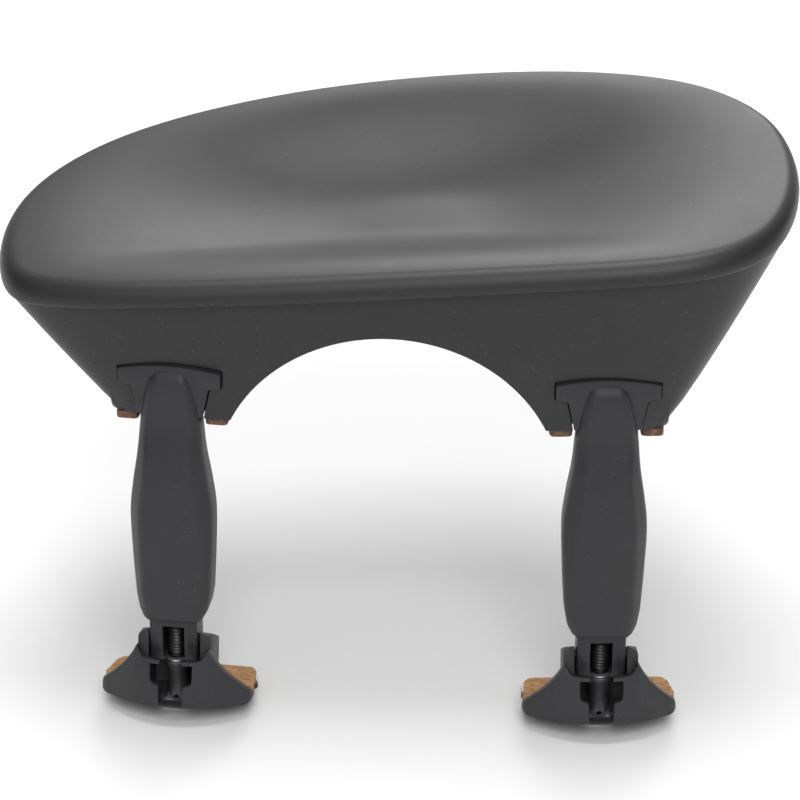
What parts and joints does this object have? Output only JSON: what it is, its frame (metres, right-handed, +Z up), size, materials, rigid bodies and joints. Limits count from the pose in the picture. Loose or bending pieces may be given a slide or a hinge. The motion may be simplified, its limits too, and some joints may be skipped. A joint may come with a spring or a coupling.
{
  "type": "violin chin rest",
  "caption": "Centre-mounted violin chin rest: dished plate arched over the tailpiece, with cork pads and two screw-clamp legs with tilting feet.",
  "frame": {"origin": "midway between the two legs, level with the underside of the plate's cork pads, where the violin's edge is held", "axes": "+Z up out of the violin's top, -Y towards the player, +X to the right end of the plate seen by the player-side camera, along the line of the legs"},
  "size_m": [0.1099, 0.0659, 0.0755],
  "materials": {
    "plate_plastic": "satin moulded black, finely grained",
    "leg_plastic": "satin moulded black",
    "slider_plastic": "smooth dark grey, slightly glossy",
    "foot_plastic": "satin moulded black",
    "black_steel": "blackened steel",
    "grey_steel": "dark grey turned steel",
    "bright_steel": "bright steel",
    "nut_brass": "plain brass",
    "pad_cork": "reddish brown cork sheet",
    "foot_cork": "tan speckled cork sheet"
  },
  "bodies": {
    "root": {"chin_plate": "plate_plastic", "left_leg_housing": "leg_plastic", "left_leg_nut": "nut_brass", "left_fixing_screw": "bright_steel", "left_plate_cork": "pad_cork", "right_leg_housing": "leg_plastic", "right_leg_nut": "nut_brass", "right_fixing_screw": "bright_steel", "right_plate_cork": "pad_cork"},
    "left_slider": {"left_foot_slider": "slider_plastic", "left_thrust_washer": "bright_steel"},
    "left_screw": {"left_clamp_screw": "black_steel", "left_screw_head": "grey_steel"},
    "left_foot": {"left_clamp_foot": "foot_plastic", "left_foot_cork": "foot_cork"},
    "right_slider": {"right_foot_slider": "slider_plastic", "right_thrust_washer": "bright_steel"},
    "right_screw": {"right_clamp_screw": "black_steel", "right_screw_head": "grey_steel"},
    "right_foot": {"right_clamp_foot": "foot_plastic", "right_foot_cork": "foot_cork"}
  },
  "joints": [
    {"name": "left_foot_slide", "type": "slide", "parent": "root", "child": "left_slider", "axis": [0, 0, 1], "range_m": [-0.005, 0.001]},
    {"name": "left_screw_turn", "type": "hinge", "parent": "left_slider", "child": "left_screw", "pos_m": [-0.02978, -0.0009, -0.03], "axis": [0, 0, 1], "range_deg": [-3610, 730]},
    {"name": "left_foot_tilt", "type": "hinge", "parent": "left_slider", "child": "left_foot", "pos_m": [-0.02977, -0.0008, -0.0339], "axis": [0.996, -0.0889, 0], "range_deg": [-2, 13]},
    {"name": "right_foot_slide", "type": "slide", "parent": "root", "child": "right_slider", "axis": [0, 0, 1], "range_m": [-0.005, 0.001]},
    {"name": "right_screw_turn", "type": "hinge", "parent": "right_slider", "child": "right_screw", "pos_m": [0.02978, -0.0009, -0.03], "axis": [0, 0, 1], "range_deg": [-3610, 730]},
    {"name": "right_foot_tilt", "type": "hinge", "parent": "right_slider", "child": "right_foot", "pos_m": [0.02977, -0.0008, -0.0339], "axis": [0.996, 0.0889, 0], "range_deg": [-2, 13]}
  ],
  "couplings": [
    {"joint": "left_screw_turn", "follows": "left_foot_slide", "rad_per_m": 12566},
    {"joint": "right_screw_turn", "follows": "right_foot_slide", "rad_per_m": 12566}
  ]
}
